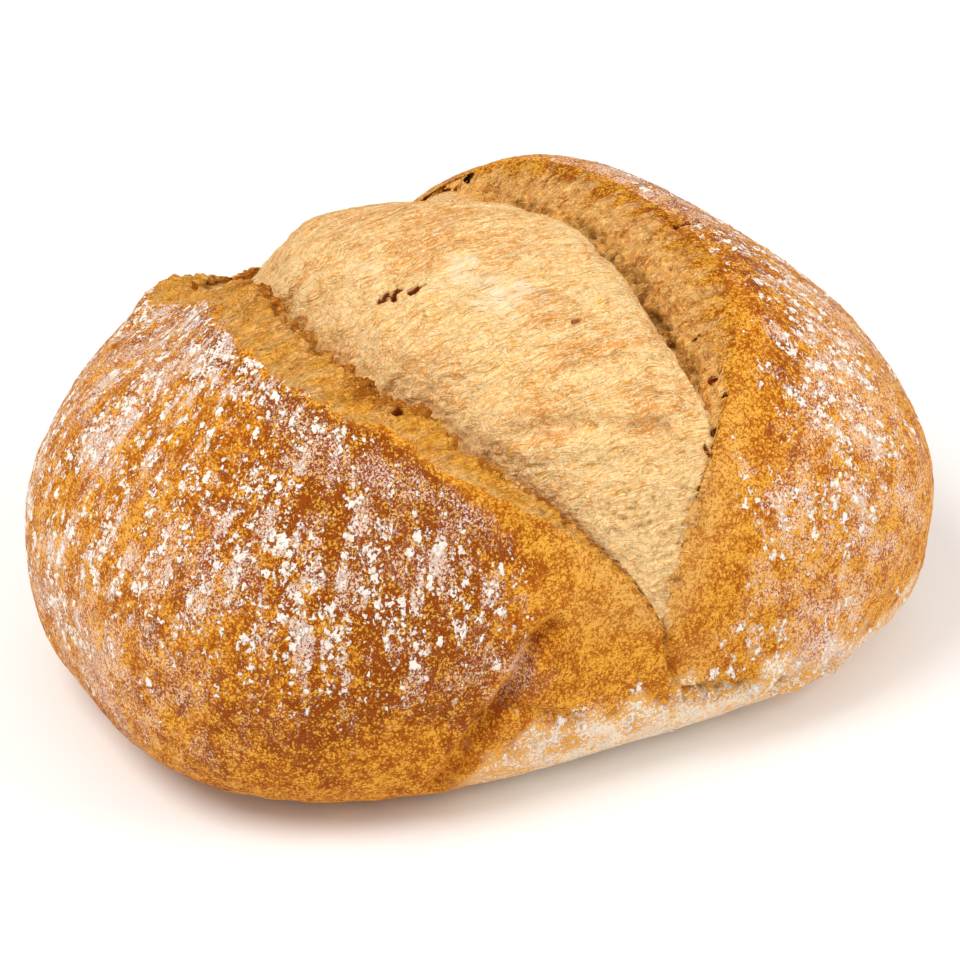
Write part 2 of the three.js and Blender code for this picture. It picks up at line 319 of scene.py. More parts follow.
def surface_shares(lean, knot):
    """How much each point belongs to crust, torn lip, pulled crumb and torn wall."""
    opening = smooth(gape(lean), 0.02, 0.15)
    flat = np.stack([lean + 0 * knot, 2.4 * knot, 0 * knot + 0.5], -1)
    tear = knot + 0.16 * grain(flat, 2.6, 5) + 0.10 * grain(flat, 1.0, 6)
    past_left = smooth(knot, LEFT_CREVICE - 0.6, LEFT_CREVICE + 0.6)
    past_right = smooth(knot, RIGHT_CREVICE - 0.6, RIGHT_CREVICE + 0.4)
    past_wall = smooth(knot + 3 * (tear - knot), RIDGE_SKIN - 1.7, RIDGE_SKIN + 0.2)
    lip = smooth(tear, LIP_SKIN - 0.7, LIP_SKIN + 0.5) * (1 - past_left) * opening
    crumb = past_left * (1 - past_right) * opening
    wall = past_right * (1 - past_wall) * opening
    return 1 - lip - crumb - wall, lip, crumb, wall


def bare_form(lean, turn, rise, knot):
    """The loaf's main form, with the coarse relief of its torn surfaces."""
    aim = aim_at(lean, turn)
    distance = skin_distance(aim)
    plain = HEART + aim * distance[..., None]
    swell = spots(SWELLINGS, lean, turn)
    crust, lip, crumb, wall = surface_shares(lean, knot)
    opening = gape(lean)
    swell = swell + 1.5 * lumps(plain, (45, 9, 9)) * crumb * opening
    swell = swell + 2.6 * lumps(plain, 9) * np.maximum(wall, 0.6 * lip) * opening
    swell = swell + 0.9 * lumps(plain, 26) * (1 - crumb)
    swell = swell + fold_lift(plain)
    clear_of_base = smooth(plain[..., 2], 0, 14)
    form = HEART + aim * (distance + rise + swell * clear_of_base)[..., None]
    form[..., 2] = np.where(form[..., 2] < 0.02, 0, form[..., 2])
    return form


# ---------------------------------------------------------------- patterns over the skin
# Each spot in these tables is: lean, turn, reach in lean, reach in turn, strength.

# where the oven browned the crust; the spot at lean 33, turn -94 is painted shade in a fold
BAKED_AND_FOLD_SHADE = (
    (100, 47, 32, 6, 0.50), (58, -48, 28, 4, 0.75), (62, -48, 8, 4, 0.3), (61, -57, 10, 6, 0.3),
    (43, -68, 9, 8, 0.3), (58, -74, 44, 34, 0.40), (52, -50, 17, 6, 0.55), (86, -50, 14, 5, 0.34),
    (52, -62, 12, 9, 0.38), (40, -73, 9, 12, 0.55), (50, -91, 18, 10, 0.38), (50, -62, 16, 14, 0.50),
    # (33, -94) is painted shade in the fold low on the left
    (33, -94, 7, 14, 0.30), (70, -104, 36, 12, 0.20), (58, 44, 34, 7, 0.50), (36, 55, 9, 8, 0.25),
    (60, 75, 24, 20, 0.16), (120, 55, 22, 20, 0.40), (120, -60, 26, 22, 0.30), (150, -30, 20, 30, 0.30),
    (95, 92, 24, 14, 0.20),
)
# where the skin beside the score opened late and stayed pale
FRESH = (
    (15, 22, 9, 10, 1.0), (7, 20, 6, 24, 0.9), (25, 28, 8, 5, 0.7), (36, 33, 9, 4, 0.4),
    (7, -28, 6, 18, 0.7), (15, -27, 8, 8, 0.6), (23, -34, 9, 5, 0.45), (5, 120, 5, 40, 0.6),
    (14, -52, 9, 14, 0.55), (23, 38, 9, 8, 0.35),
)
# where flour lies in clots
FLOURED = (
    (84, -66, 30, 20, 0.76), (98, -56, 12, 8, 0.6), (84, -50, 26, 5, 0.5), (56, -66, 16, 15, 0.3),
    (40, -62, 9, 12, 0.55), (47, -80, 10, 10, 0.5), (100, -86, 20, 10, 0.5), (66, 54, 16, 10, 0.95),
    (47, 53, 10, 10, 0.95), (42, 70, 9, 11, 0.55), (100, 50, 26, 7, 0.5), (32, 46, 6, 11, 0.5),
    (26, 60, 8, 14, 0.3), (18, 100, 7, 13, 0.55), (30, 112, 7, 10, 0.4), (80, 72, 18, 16, 0.6),
    (130, -62, 24, 20, 0.6), (128, 64, 24, 20, 0.6),
)
# where only a thin film of flour clings
DUSTED = (
    (24, 74, 9, 16, 0.5), (30, 112, 8, 12, 0.7), (104, -60, 16, 14, 0.5), (108, 43, 26, 7, 0.8),
    (30, -84, 8, 14, 0.5), (73, -73, 10, 9, 0.4), (44, -46, 10, 3, 0.45), (48, -60, 5, 6, 0.55),
    (41, 82, 10, 10, 0.7), (29, 94, 8, 10, 0.5), (60, -50, 22, 3, 0.4), (86, -92, 22, 10, 0.6),
    (44, 56, 12, 12, 0.5), (22, -128, 10, 16, 0.5), (62, 60, 16, 12, 0.4),
)
# where the crumb is toasted, or paler than the rest
TOASTED_SPOTS = (
    (92, -8, 9, 9, 0.50), (88, -15, 6, 4, 0.35), (67, 2.5, 5, 5, 0.42), (58, 3, 7, 6, 0.25),
    (42, 8.5, 4, 3.5, 0.50), (46, 6, 5, 3, 0.35), (38, 10, 4, 3, 0.40), (62, -3, 5, 4, 0.25),
    (45, -16, 6, 2, 0.30), (105, -12, 12, 12, 0.25), (120, -5, 20, 14, 0.35), (30, -4, 9, 16, -0.25),
    (76, 8, 10, 5, -0.2), (70, -22, 14, 6, -0.1),
)
# where a little flour fell on the crumb
CRUMB_DUSTED = (
    (75, -13, 7, 5, 0.2), (68, -8, 7, 4, 0.24), (81, -9, 5, 3, 0.24), (69, -2, 5, 3, 0.2),
    (90, -24, 6, 4, 0.15),
)
# where the torn lip caught the heat
CAUGHT = (
    (63, -38.5, 4, 3, 1.0), (67, -40, 3, 3, 0.6), (58, -36, 2.5, 2, 0.6), (45, -35, 3, 2, 0.4),
    (98, -40, 8, 3, 0.5),
)


def skin_masks(points, lean, turn, knot):
    """Per-point masks that the materials read."""
    crust, lip, crumb, wall = surface_shares(lean, knot)
    x, y, z = np.moveaxis(points, -1, 0)
    opening = gape(lean)

    foot = 1 - smooth(z, 4, 26)
    bake = (spots(BAKED_AND_FOLD_SHADE, lean, turn) + 0.20 * grains(points, 22, 2, 11)) * (1 - 0.3 * foot)
    flour = np.clip(spots(FLOURED, lean, turn) * (1 + 0.5 * grain(points, 17, 21)), 0, 1)
    front_foot = bell(z - 18, 11) * smooth(-y, 40, 75) * smooth(x, -55, -15)
    flour = (flour + 0.5 * front_foot * mix(1, 0.6, smooth(x, 22, 48))) * smooth(z, 1.5, 4)
    low = 1 - smooth(z + 9 * grain(points, 9, 24), 15, 31)
    coat = low * smooth(-y, 25, 70) * smooth(x, -60, -15) * mix(1, 0.4, smooth(x, 22, 48))
    film = spots(DUSTED, lean, turn) * (1 + 0.8 * grain(points, 8, 25)) * crust
    film = film + spots(CRUMB_DUSTED, lean, turn) * (1 + 0.8 * grain(points, 5, 26)) * crumb

    # young crumb, greyer, tore open late beside the crevices; its grey beside the left lip and low in front is
    # also painted shade
    across = (knot - LEFT_CREVICE) / (RIGHT_CREVICE - LEFT_CREVICE)
    young_and_shade = 0.6 * (1 - smooth(across, 0.03, 0.24)) * (1 - 0.6 * smooth(lean, 72, 90))
    young_and_shade = np.maximum(young_and_shade, 0.7 * smooth(across, 0.92, 0.99))
    young_and_shade = np.maximum(young_and_shade, 1.3 * wall * smooth(grain(points, 7, 41), -0.1, 0.45))
    # painted shade: the crumb low in front is greyed as if shaded
    young_and_shade = np.maximum(young_and_shade, 0.8 * (1 - smooth(z, 74, 98))) * (crumb + 0.5 * wall)
    toast = 0.40 - 0.08 * wall + spots(TOASTED_SPOTS, lean, turn) - 0.30 * young_and_shade
    toast = toast + 0.42 * grains(points, (22, 11, 11), 2, 31)

    lip_edge = 1.4 * bell(knot - LIP_EDGE - 0.1, 0.7) * smooth(grains(points, 6, 2, 36), -0.5, 0.3)
    pale_lip = 0.3 * smooth(grains(points, (10, 4, 10), 3, 40), -0.1, 0.5)
    wall_edge = smooth(grains(points, 6, 3, 37), 0.22, 0.60)
    golden = lip * (mix(1.0, 0.9, smooth(lean, 60, 92)) - pale_lip) + 0.65 * wall

    # painted shade: the dark gap at the foot of the wall, and a trace of one under the lip, darkened as if in
    # shadow
    pitted = smooth(grain(points, 2.4, 38) + 0.6 * grain(points, 5.5, 39), -0.35, 0.35)
    gap_knot = mix(RIGHT_CREVICE + 0.2, WALL_SHOWS, smooth(lean, 38, 50)) + 0.25 * smooth(lean, 84, 100)
    painted_gap_shade = 0.9 * bell(knot - gap_knot, 0.22) * smooth(lean, 27, 37) * (1 - smooth(lean, 116, 126))
    painted_gap_shade = (painted_gap_shade + 0.1 * bell(knot - LEFT_CREVICE - 0.6, 0.6)) * pitted * smooth(opening, 0.35, 0.75)
    masks = {
        "bake": bake, "flour": np.clip(flour, 0, 1) * crust, "film": film, "coat": np.clip(coat, 0, 1) * crust,
        "toast": toast, "young_and_shade": young_and_shade, "golden": golden, "painted_gap_shade": painted_gap_shade, "crust_share": crust,
        "crisp": lip * (lip_edge + spots(CAUGHT, lean, turn)) + 0.8 * wall * wall_edge,
        "fresh": spots(FRESH, lean, turn), "painted_crease_shade": crease_share(unbroken(lean, turn)),
        "strand": (crumb * (0.12 + 0.88 * young_and_shade) + 0.6 * wall) * smooth(opening, 0.1, 0.5),
    }
    return {name: np.clip(mask, 0, 1) for name, mask in masks.items()}


# holes burst in the crumb: lean, turn, reach along X, reach along Y, depth
HOLE_UPRIGHT = 9.0
HOLES = (
    (82, -24.5, 3.6, 1.8, 3.5), (80, -20, 2.4, 1.3, 2.6), (59, 2, 2.4, 0.6, 0.6),
    (104, 5, 3.4, 2.4, 4.0), (83, 41.5, 3.6, 1.8, 3.0), (59, -41.5, 2.2, 1.2, 3.0), (57, 29, 1.4, 1.6, 1.4),
    (33.5, 25.2, 0.6, 1.6, 0.8), (74, 25, 1.6, 1.2, 1.4), (131.5, 29, 2.0, 1.4, 2.0),
    (47, 29, 1.5, 1.0, 1.4), (90, -46, 1.6, 1.0, 2.0),
)


def holes(points):
    """Depth share of the burst holes, with ragged rims."""
    deep = np.zeros(points.shape[:-1])
    ragged = 0.6 * grains(points, 2.2, 2, 51)
    for lean, turn, long_reach, short_reach, depth in HOLES:
        off = (points - spot_at(lean, turn)) / np.array([long_reach, short_reach, HOLE_UPRIGHT])
        deep = np.maximum(deep, depth * (1 - smooth(np.sqrt((off ** 2).sum(-1)) + ragged, 0.55, 1.05)))
    return deep


def fine_relief(points, lean, knot, masks):
    """Relief too fine for the bare form, in millimetres along the skin's normal."""
    crust, lip, crumb, wall = surface_shares(lean, knot)
    opening = gape(lean)
    bent = points + 2.4 * np.stack([grain(points, 13, seed) for seed in (61, 62, 63)], -1)

    strands = 0.75 * (0.45 - np.abs(grain(bent, (26, 4.5, 4.5), 64)))
    strands = strands + 0.20 * grain(bent, (14, 2.2, 2.2), 65) + 0.14 * grain(bent, (5, 1.0, 1.0), 66)
    tears = smooth(grain(bent, (6.0, 1.7, 1.7), 67), 0.3, 0.62) * smooth(grain(points, 14, 69), -0.1, 0.5)
    pores = smooth(grain(points, (2.6, 1.5, 1.5), 68), 0.25, 0.6)
    crumb_relief = strands - 0.8 * tears * (0.4 + 0.6 * masks["young_and_shade"]) - 0.75 * pores * masks["young_and_shade"]
    crumb_relief = crumb_relief * mix(0.5, 1, smooth(opening, 0.15, 0.5))

    cells = smooth(grain(points, (3.4, 2.4, 3.4), 70), 0.2, 0.5)
    torn_relief = 1.5 * grain(bent, 7.0, 71) + 0.75 * grain(bent, 3.4, 73) + 0.35 * grains(points, 1.6, 2, 72)
    torn_relief = torn_relief - cells - 0.9 * smooth(grain(points, 2.0, 74), 0.15, 0.45)
    torn_relief = torn_relief * mix(1, 0.35, smooth(knot, RIDGE_SKIN - 0.7, RIDGE_SKIN))
    torn_relief = torn_relief * mix(1, 0.3, smooth(lean, 122, 132))

    rough = 1 + 0.8 * smooth(lean, 84, 104)
    lip_relief = 0.4 * rough * grain(points, 3.6, 75) + 0.5 * grains(points, 1.7, 2, 76) - 0.6 * cells
    rim = bell(knot - LIP_EDGE, 0.8) * opening
    lip_relief = lip_relief + 0.8 * grain(bent, (8, 1.8, 1.8), 78)
    lip_relief = lip_relief + rim * (1.6 * grain(points, 4.2, 79) + 0.9 * grain(points, 1.8, 80))
    crust_relief = 0.22 * grain(points, 7, 81) + 0.13 * grain(points, 2.8, 82) + 0.07 * grain(points, 1.4, 83)

    # pits along both crevices, and where the wall first shows above the crumb
    fades_behind = 1 - smooth(lean, 114, 124)
    wall_foot = bell(knot - RIGHT_CREVICE, 0.45) * smooth(opening, 0.6, 0.9) * fades_behind
    shown_foot = bell(knot - WALL_SHOWS - 0.05, 0.3) * smooth(lean, 40, 52) * fades_behind
    dome_foot = bell(knot - LEFT_CREVICE, 0.7) * opening
    pits = smooth(grain(points, 3.2, 77), 0.05, 0.45)
    relief = crust * crust_relief + lip * lip_relief + crumb * crumb_relief + wall * torn_relief
    relief = relief - (2.0 * np.maximum(wall_foot, shown_foot) + 1.2 * dome_foot) * pits - holes(points)
    return relief * smooth(points[..., 2], 0.2, 3)


# ---------------------------------------------------------------- pieces of the skin
ROWS = 520
LEANS = 180 * np.linspace(0, 1, ROWS + 2)[1:-1] ** 1.2
GHOSTS = 2
TRIES = 161
FALL_LEVEL, FALL_RADIUS = 20, 100


def even_knots(leans, first, last, columns):
    """For each ring, knots that lie evenly along it, with a few beyond each end."""
    turns, rises = ring_knots(leans)
    tries = np.linspace(first, last, TRIES)[None] + 0 * leans[:, None]
    turn, rise = along_ring(turns, tries), along_ring(rises, tries)
    rough = aim_at(leans[:, None], turn) * (ROUGH_RADIUS + rise)[..., None]
    steps = np.linalg.norm(np.diff(rough, axis=1), axis=-1) + 0.02
    run = np.concatenate([np.zeros((len(leans), 1)), np.cumsum(steps, 1)], 1)
    share = np.linspace(0, 1, columns + 1)
    knots = np.stack([np.interp(share * r[-1], r, t) for r, t in zip(run, tries)])
    head = knots[:, :1] - (knots[:, 1:2] - knots[:, :1]) * np.arange(GHOSTS, 0, -1)
    tail = knots[:, -1:] + (knots[:, -1:] - knots[:, -2:-1]) * np.arange(1, GHOSTS + 1)
    return np.concatenate([head, knots, tail], 1), turns, rises


def skin_normals(points):
    """Outward normals of a grid of points, rows by lean and columns by turn."""
    normal = np.cross(np.gradient(points, axis=0), np.gradient(points, axis=1))
    return -normal / (np.linalg.norm(normal, axis=-1, keepdims=True) + 1e-9)


def skin_patch(first, last, columns, leans):
    """A grid of skin between two knots: points, normals and masks."""
    knot, turns, rises = even_knots(leans, first, last, columns)
    wrapped = np.clip(knot, 0, LAST_KNOT) if LAST_KNOT > last else knot % LAST_KNOT
    turn, rise = along_ring(turns, wrapped), along_ring(rises, wrapped)
    lean = leans[:, None] + 0 * knot
    form = bare_form(lean, turn, rise, wrapped)
    masks = skin_masks(form, lean, turn, wrapped)
    relief = fine_relief(form, lean, wrapped, masks)
    # painted shade: the burst holes darken with their depth
    masks["painted_hole_shade"] = np.clip(holes(form) / 1.6, 0, 1)
    masks["relief"] = np.clip(0.5 + 0.4 * relief, 0, 1)
    points = form + skin_normals(form) * relief[..., None]
    points[..., 2] = np.maximum(points[..., 2], 0)
    inner = slice(GHOSTS, -GHOSTS)
    fall_place = np.stack([
        np.arctan2(form[..., 0], -form[..., 1]) * ROUGH_RADIUS,
        np.arctan2(form[..., 2] - FALL_LEVEL, np.hypot(form[..., 0], form[..., 1])) * FALL_RADIUS,
    ], -1)
    return (points[:, inner], skin_normals(points)[:, inner], fall_place[:, inner],
            {name: mask[:, inner] for name, mask in masks.items()})


def filled_mesh(name, vertices, quads, triangles, masks, place):
    """A smooth mesh that carries the masks on its points and the fall map on its corners."""
    mesh = bpy.data.meshes.new(name)
    mesh.vertices.add(len(vertices))
    mesh.vertices.foreach_set("co", ((vertices - RECENTRE) * MM).astype(np.float32).ravel())
    loops = np.concatenate([quads.ravel(), triangles.ravel()])
    mesh.loops.add(len(loops))
    mesh.loops.foreach_set("vertex_index", loops.astype(np.int32))
    starts = np.concatenate([np.arange(len(quads)) * 4, len(quads) * 4 + np.arange(len(triangles)) * 3])
    mesh.polygons.add(len(starts))
    mesh.polygons.foreach_set("loop_start", starts.astype(np.int32))
    mesh.polygons.foreach_set("use_smooth", np.ones(len(starts), bool))
    mesh.update(calc_edges=True)
    for mask_name, values in masks.items():
        attribute = mesh.attributes.new(mask_name, "FLOAT", "POINT")
        attribute.data.foreach_set("value", values.astype(np.float32))
    uv = mesh.uv_layers.new(name="fall")
    uv.data.foreach_set("uv", (place * MM)[loops].astype(np.float32).ravel())
    return mesh


def placed(name, mesh):
    thing = bpy.data.objects.new(name, mesh)
    bpy.context.scene.collection.objects.link(thing)
    return thing


def dressed(piece, slot_name):
    """Joins a finished piece to the loaf's frame."""
    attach(piece, "root")
    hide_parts("loaf")
    return piece


def grid_quads(rows, columns, first=0):
    at = first + np.arange(rows * columns).reshape(rows, columns)
    return at, np.stack([at[:-1, :-1], at[:-1, 1:], at[1:, 1:], at[1:, :-1]], -1).reshape(-1, 4)


def closed_piece(name, grid, front_tip, back_tip, material, slot_name):
    """A closed wedge of loaf: a grid of skin, a fan at each tip, and sides that run to the heart."""
    points, normals, place, masks = grid
    rows, columns = points.shape[:2]
    front, back, heart = rows * columns + np.arange(3)
    at, quads = grid_quads(rows, columns)
    fans = [np.stack([0 * at[0, 1:] + front, at[0, 1:], at[0, :-1]], -1),
            np.stack([0 * at[-1, 1:] + back, at[-1, :-1], at[-1, 1:]], -1)]
    edge_loop = np.concatenate([[front], at[:, 0], [back], at[::-1, -1], [front]])
    fans.append(np.stack([edge_loop[:-1], edge_loop[1:], 0 * edge_loop[1:] + heart], -1))
    vertices = np.concatenate([points.reshape(-1, 3), [front_tip, back_tip, HEART]])
    values = {key: np.concatenate([mask.ravel(), [mask[0].mean(), mask[-1].mean(), 0]])
              for key, mask in masks.items()}
    flat_place = np.concatenate([place.reshape(-1, 2), place[0, :1], place[-1, :1], [[0, 0]]])
    mesh = filled_mesh(name, vertices, quads, np.concatenate(fans), values, flat_place)
    directions = np.concatenate([normals.reshape(-1, 3), [[0, -1, 0], [0, 1, 0], [0, 0, -1]]])
    mesh.normals_split_custom_set_from_vertices(directions.astype(np.float32))
    mesh.materials.append(material)
    return dressed(placed(name, mesh), slot_name)


def bare_skin(name, *pieces):
    """The skin of some pieces as one open sheet, for things to be scattered over. It isn't kept."""
    grids = [SKINS[piece] for piece in pieces]
    quads, first = [], 0
    for grid in grids:
        rows, columns = grid[0].shape[:2]
        quads.append(grid_quads(rows, columns, first)[1])
        first += rows * columns
    vertices = np.concatenate([grid[0].reshape(-1, 3) for grid in grids])
    masks = {key: np.concatenate([grid[3][key].ravel() for grid in grids]) for key in grids[0][3]}
    place = np.concatenate([grid[2].reshape(-1, 2) for grid in grids])
    none = np.empty((0, 3), int)
    return placed(name, filled_mesh(name, vertices, np.concatenate(quads), none, masks, place))


# ---------------------------------------------------------------- node helpers
class Board:
    """Places nodes in one tree and joins them."""

    def __init__(self, tree):
        self.tree = tree

    def add(self, kind, inputs=(), **settings):
        node = self.tree.nodes.new(kind)
        for name, value in settings.items():
            setattr(node, name, value)
        for key, value in dict(inputs).items():
            self.feed(node.inputs[key], value)
        return node

    def made(self, kind, inputs=(), **settings):
        """A new node's first output."""
        return self.add(kind, inputs, **settings).outputs[0]

    def feed(self, socket, value):
        if isinstance(value, bpy.types.NodeSocket):
            self.tree.links.new(value, socket)
        else:
            socket.default_value = value

    def math(self, operation, a, b=0.0, c=0.0, clamp=False):
        return self.made("ShaderNodeMath", {0: a, 1: b, 2: c}, operation=operation, use_clamp=clamp)

    def times(self, a, b):
        return self.math("MULTIPLY", a, b)

    def over(self, a, b):
        return self.math("DIVIDE", a, b)

    def plus(self, a, b):
        return self.math("ADD", a, b)

    def minus(self, a, b):
        return self.math("SUBTRACT", a, b)

    def times_plus(self, a, b, c):
        return self.math("MULTIPLY_ADD", a, b, c)

    def vector(self, operation, a, b, c=(0.0, 0.0, 0.0)):
        return self.made("ShaderNodeVectorMath", {0: a, 1: b, 2: c}, operation=operation)

    def joined(self, x=0.0, y=0.0, z=0.0):
        return self.made("ShaderNodeCombineXYZ", {0: x, 1: y, 2: z})

    def ramp(self, value, low, high, start=0.0, end=1.0):
        inputs = {"Value": value, "From Min": low, "From Max": high, "To Min": start, "To Max": end}
        return self.made("ShaderNodeMapRange", inputs, interpolation_type="SMOOTHSTEP")

    def noise(self, vector, scale=1.0, detail=2.0, roughness=0.5, distortion=0.0):
        inputs = {"Vector": vector, "Scale": scale, "Detail": detail, "Roughness": roughness,
                  "Distortion": distortion}
        return self.made("ShaderNodeTexNoise", inputs)

    def drift(self, vector, scale, detail):
        """Noise in three directions at once, each from 0 to 1."""
        inputs = {"Vector": vector, "Scale": scale, "Detail": detail}
        return self.add("ShaderNodeTexNoise", inputs).outputs["Color"]

    def cells(self, vector, scale):
        return self.add("ShaderNodeTexVoronoi", {"Vector": vector, "Scale": scale}).outputs

    def blend(self, share, a, b):
        return self.add("ShaderNodeMix", {0: share, 6: a, 7: b}, data_type="RGBA").outputs[2]

    def layers(self, colour, *layers):
        """The colour with each (share, tint) laid over it in turn."""
        for share, tint in layers:
            colour = self.blend(share, colour, tint)
        return colour

    def place(self):
        return self.add("ShaderNodeTexCoord").outputs["Object"]

    def mask(self, name):
        return self.add("ShaderNodeAttribute", attribute_name=name).outputs["Fac"]


def rgb(*channels):
    return (*channels, 1.0)


GEOMETRY, VECTOR, FLOAT, COLOUR, INTEGER, TEXT, MATERIAL = (
    "NodeSocket" + kind for kind in ("Geometry", "Vector", "Float", "Color", "Int", "String", "Material")
)


def new_tree(kind, name, inputs, outputs):
    """An empty node tree with named sockets, its board, and its two ends."""
    tree = bpy.data.node_groups.new(name, kind)
    for in_out, sockets in (("INPUT", inputs), ("OUTPUT", outputs)):
        for socket, socket_type in sockets.items():
            tree.interface.new_socket(name=socket, in_out=in_out, socket_type=socket_type)
    board = Board(tree)
    return tree, board, board.add("NodeGroupInput").outputs, board.add("NodeGroupOutput").inputs


# flour lies in rows down the slope, as clots and finer specks; sizes in millimetres
FLOUR_STREAK = 1.5
ROW_WIDTH, ROW_LENGTH = 3.9, 26.0
CLOT_SPACING, SPECK_SPACING = 2.6, 1.2
JOLT = 2.6
PER_METRE, HALVES = (1 / MM, 1 / MM, 1 / MM), (0.5, 0.5, 0.5)
FLOUR_PER_METRE = (1 / MM, 1 / MM, 0.76 / MM)


def flour_spots(board, place, spacing, amount, small, large, ragged):
    """One spot of flour to a cell, where the cell's own number is under the amount."""
    cells = board.cells(place, 1 / spacing)
    fate, size, _ = board.add("ShaderNodeSeparateXYZ", {0: cells["Color"]}).outputs
    reach = board.times_plus(size, large - small, small)
    edge = board.minus(board.plus(reach, ragged), cells["Distance"])
    return board.times(board.ramp(edge, 0.0, 0.07), board.ramp(board.minus(amount, fate), 0.0, 0.08))


def flour_pattern(board, place, fall, amount, streak):
    """Clots and specks of flour, and how much flour lies around them."""
    spot = board.vector("MULTIPLY", place, FLOUR_PER_METRE)
    down = board.vector("MULTIPLY", fall, (1 / (ROW_WIDTH * MM), 1 / (ROW_LENGTH * MM), 1.0))
    rows = board.minus(board.ramp(board.noise(down, 1.0, 1.5, 0.5, 0.2), 0.40, 0.60), 0.5)
    drift = board.minus(board.noise(spot, 0.085, 2.0, 0.5), 0.5)
    local = board.times_plus(rows, board.times(amount, streak), amount)
    local = board.times_plus(board.times(drift, amount), 1.3, local)
    powder = board.minus(board.noise(spot, 1.35, 2.5, 0.7), 0.5)
    ragged = board.times(powder, 1.3)
    spot = board.vector("MULTIPLY_ADD", board.drift(spot, 0.75, 1.5), (JOLT, JOLT, JOLT), spot)
    clots = flour_spots(board, spot, CLOT_SPACING, board.times(local, 0.95), 0.14, 0.54, ragged)
    specks = flour_spots(board, spot, SPECK_SPACING, board.times(local, 0.75), 0.10, 0.58, ragged)
    return clots, specks, local


def flour_dusting():
    """Clots of flour, and the thin haze and film of it between them."""
    tree, board, given, out = new_tree(
        "ShaderNodeTree", "Flour dusting",
        {"Place": VECTOR, "Fall": VECTOR, "Amount": FLOAT, "Streak": FLOAT, "Film": FLOAT, "Haze": FLOAT},
        {"Clots": FLOAT, "Haze": FLOAT},
    )
    pattern_inputs = (given[name] for name in ("Place", "Fall", "Amount", "Streak"))
    clots, specks, local = flour_pattern(board, *pattern_inputs)
    spot = board.vector("MULTIPLY", given["Place"], FLOUR_PER_METRE)
    speckle = board.noise(spot, 1.9, 2.0, 0.8)
    broad = board.noise(spot, 0.13, 2.5, 0.6)
    film = board.times(board.ramp(broad, 0.38, 0.58, 0.3, 1.0), given["Film"])
    haze = board.math("MAXIMUM", board.times(board.ramp(broad, 0.49, 0.60), local), film)
    grainy = board.times_plus(board.math("MINIMUM", haze, 1.0), 0.15, speckle)
    haze = board.times(board.ramp(grainy, 0.57, 0.66), board.ramp(haze, 0.03, 0.3))
    board.feed(out["Clots"], board.math("MAXIMUM", clots, board.times(specks, 0.85)))
    board.feed(out["Haze"], board.times(haze, given["Haze"]))
    return tree


def baked_grain():
    """Broad patches, the fine grain of dough cells, and a few pale blisters."""
    tree, board, given, out = new_tree(
        "ShaderNodeTree", "Baked grain",
        {"Place": VECTOR, "Size": FLOAT}, {"Mottle": FLOAT, "Fine": FLOAT, "Blisters": FLOAT},
    )
    spot = board.vector("MULTIPLY", given["Place"], PER_METRE)
    size = board.over(1.0, given["Size"])
    board.feed(out["Mottle"], board.noise(spot, board.times(size, 0.20), 3.0, 0.75))
    cells = board.cells(spot, board.times(size, 0.95))
    seam = board.times_plus(cells["Distance"], 0.26, -0.125)
    board.feed(out["Fine"], board.plus(seam, board.noise(spot, board.times(size, 1.9), 2.0, 0.85)))
    lone = board.ramp(board.made("ShaderNodeSeparateColor", {0: cells["Color"]}), 0.66, 0.78)
    board.feed(out["Blisters"], board.times(board.ramp(cells["Distance"], 0.50, 0.16), lone))
    return tree


# colours of the crust, crumb and flour
PALE_AMBER = rgb(0.76, 0.32, 0.025)
AMBER = rgb(0.56, 0.175, 0.006)
DEEP_AMBER = rgb(0.36, 0.075, 0.002)
RED_BROWN = rgb(0.20, 0.024, 0.0005)
BLISTER = rgb(0.92, 0.47, 0.06)
CREAM = rgb(0.97, 0.64, 0.275)
BRIGHT_FIBRE = rgb(0.99, 0.76, 0.42)
GOLD_FIBRE = rgb(0.98, 0.50, 0.08)
# also painted shade: in the crumb's hollows, beside the left lip and low in front
GREY_CREAM = rgb(0.87, 0.60, 0.26)
TOASTED = rgb(0.72, 0.29, 0.05)
# the crisp crust's colour, also used as painted shade in the hollows and splits of the lip and wall
CRISP_AND_SHADE_BROWN = rgb(0.50, 0.15, 0.012)
TORN_GOLD = rgb(0.98, 0.45, 0.045)
# painted shade for the crevices and for the creases by the base
PAINTED_SHADE_BROWN = rgb(0.34, 0.18, 0.034)
FRESH_SKIN = rgb(0.80, 0.45, 0.13)
# painted shade inside the burst holes
HOLE_SHADE_BROWN = rgb(0.28, 0.05, 0.005)
FLOUR_WHITE = rgb(0.98, 0.89, 0.80)
FOOT_FLOUR = rgb(0.97, 0.84, 0.66)
FLOUR_DUST = rgb(0.96, 0.76, 0.58)
GOLD_CREAM = rgb(0.94, 0.53, 0.15)
# painted shade inside the fine splits of the crumb
SPLIT_SHADE_TAN = rgb(0.56, 0.30, 0.07)
LIP_BROWN = rgb(0.70, 0.22, 0.020)
FLOUR_HAZE = rgb(0.86, 0.66, 0.56)
DULL_FLOUR = rgb(0.86, 0.70, 0.60)
CRUMB_TAN = rgb(0.78, 0.40, 0.10)


